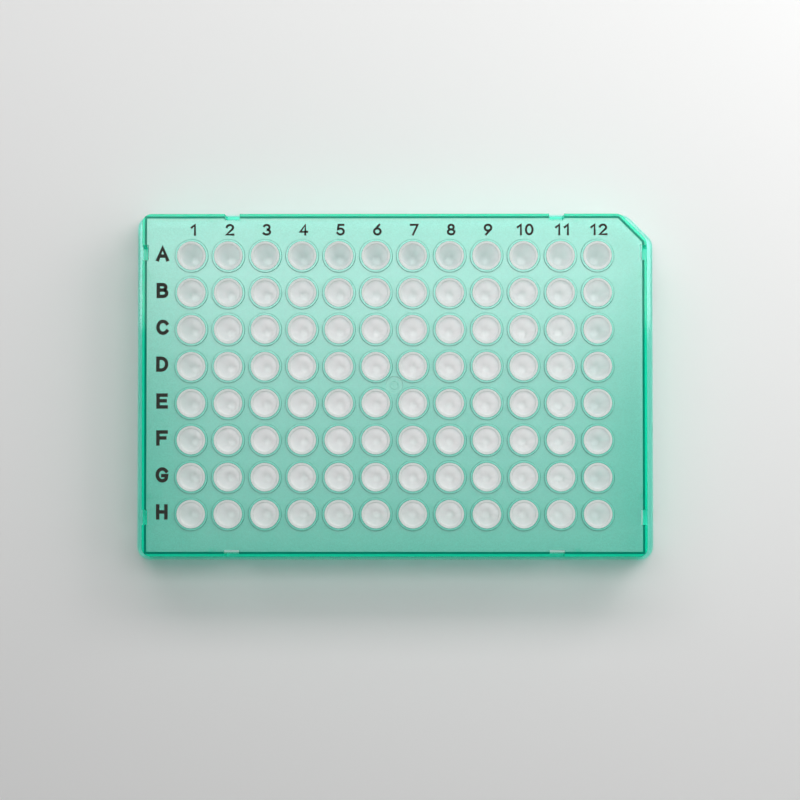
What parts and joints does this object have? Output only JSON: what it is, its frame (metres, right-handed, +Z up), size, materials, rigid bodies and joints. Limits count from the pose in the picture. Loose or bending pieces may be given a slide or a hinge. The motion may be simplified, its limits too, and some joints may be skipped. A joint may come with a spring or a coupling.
{
  "type": "pcr plate",
  "caption": "Full-skirted two-component PCR plate: a clear green frame with a grid of conical white wells, one cut corner and row and column labels.",
  "frame": {"origin": "centre of the foot's bearing face", "axes": "+Z up out of the deck, +X along a row from column 1 to column 12, +Y from row H to row A"},
  "size_m": [0.1278, 0.0854, 0.016],
  "materials": {
    "frame_polycarbonate": "clear green, satin on the deck",
    "well_polypropylene": "white, satin"
  },
  "bodies": {
    "root": {"frame": "frame_polycarbonate", "wells_column_1": "well_polypropylene", "wells_column_2": "well_polypropylene", "wells_column_3": "well_polypropylene", "wells_column_4": "well_polypropylene", "wells_column_5": "well_polypropylene", "wells_column_6": "well_polypropylene", "wells_column_7": "well_polypropylene", "wells_column_8": "well_polypropylene", "wells_column_9": "well_polypropylene", "wells_column_10": "well_polypropylene", "wells_column_11": "well_polypropylene", "wells_column_12": "well_polypropylene"}
  },
  "joints": []
}
